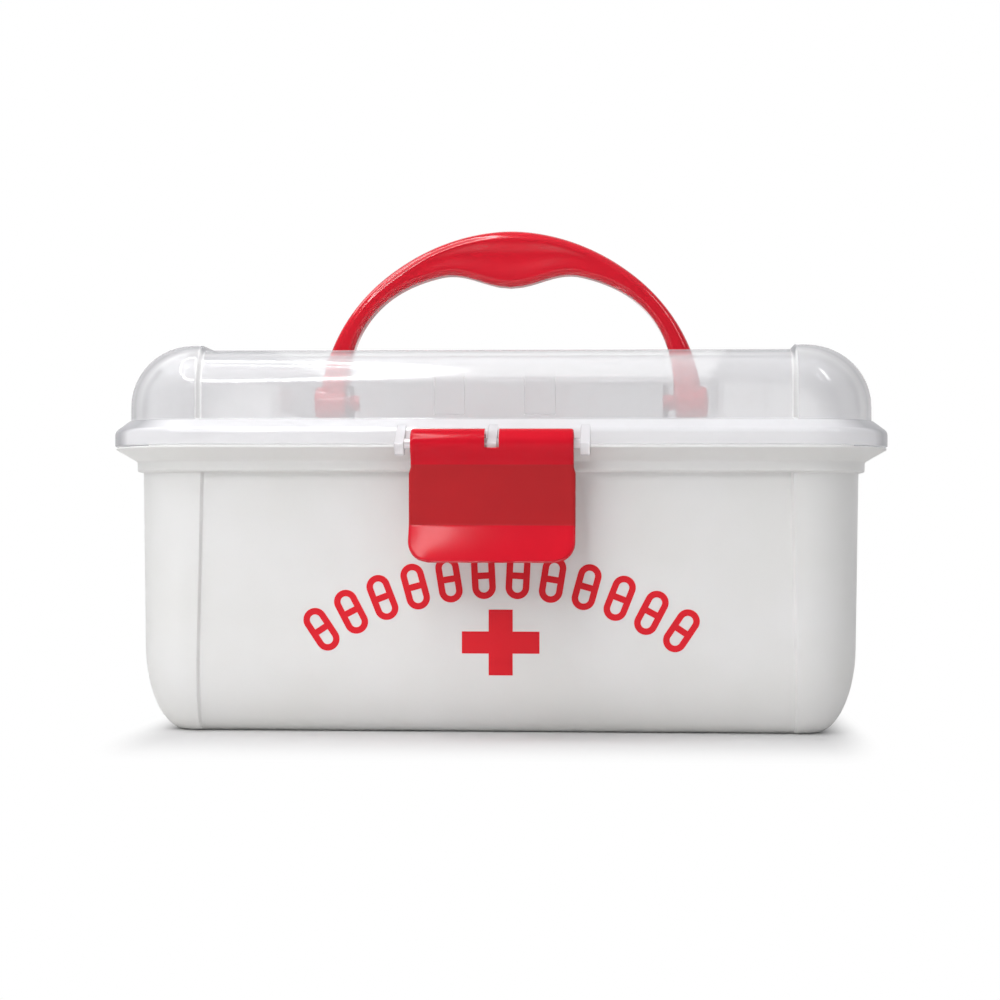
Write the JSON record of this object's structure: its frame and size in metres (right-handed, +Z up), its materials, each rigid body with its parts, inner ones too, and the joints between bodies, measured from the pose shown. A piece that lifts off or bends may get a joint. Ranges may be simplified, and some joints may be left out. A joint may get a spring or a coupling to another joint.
{
  "type": "medicine case",
  "caption": "Moulded medicine case with a flanged white body, hinged clear lid, front snap latch, folding carrying handle and a lift-out compartment tray.",
  "frame": {"origin": "centre of the flat underside of the base", "axes": "+X to the right along the case's length, -Y to the front where the latch is, +Z up towards the handle"},
  "size_m": [0.28, 0.2076, 0.1887],
  "materials": {
    "white_body": "satin moulded polypropylene",
    "clear_lid": "glossy natural polypropylene, hazy clear",
    "red_handle": "glossy moulded polypropylene",
    "red_latch": "satin plate and glossy pull lip, moulded polypropylene",
    "white_tray": "moulded polypropylene",
    "red_ink": "pad-printed ink"
  },
  "bodies": {
    "case_body": {"body_shell": "white_body", "front_cross": "red_ink", "front_motif": "red_ink"},
    "lid": {"lid_shell": "clear_lid"},
    "handle": {"carry_handle": "red_handle"},
    "snap_latch": {"latch": "red_latch", "latch_catch": "red_latch"},
    "lift_tray": {"tray": "white_tray"}
  },
  "joints": [
    {"name": "lid_hinge", "type": "hinge", "parent": "case_body", "child": "lid", "pos_m": [0, 0.0975, 0.099], "axis": [-1, 0, 0], "range_deg": [0, 110]},
    {"name": "handle_fold", "type": "hinge", "parent": "lid", "child": "handle", "pos_m": [0, 0, 0.1219], "axis": [1, 0, 0], "range_deg": [-90, 90]},
    {"name": "latch_hinge", "type": "hinge", "parent": "lid", "child": "snap_latch", "pos_m": [0, -0.0981, 0.1024], "axis": [-1, 0, 0], "range_deg": [0, 120], "deforming": ["latch_catch"]},
    {"name": "tray_lift", "type": "slide", "parent": "case_body", "child": "lift_tray", "axis": [0, 0, 1], "range_m": [0, 0.0095]}
  ]
}
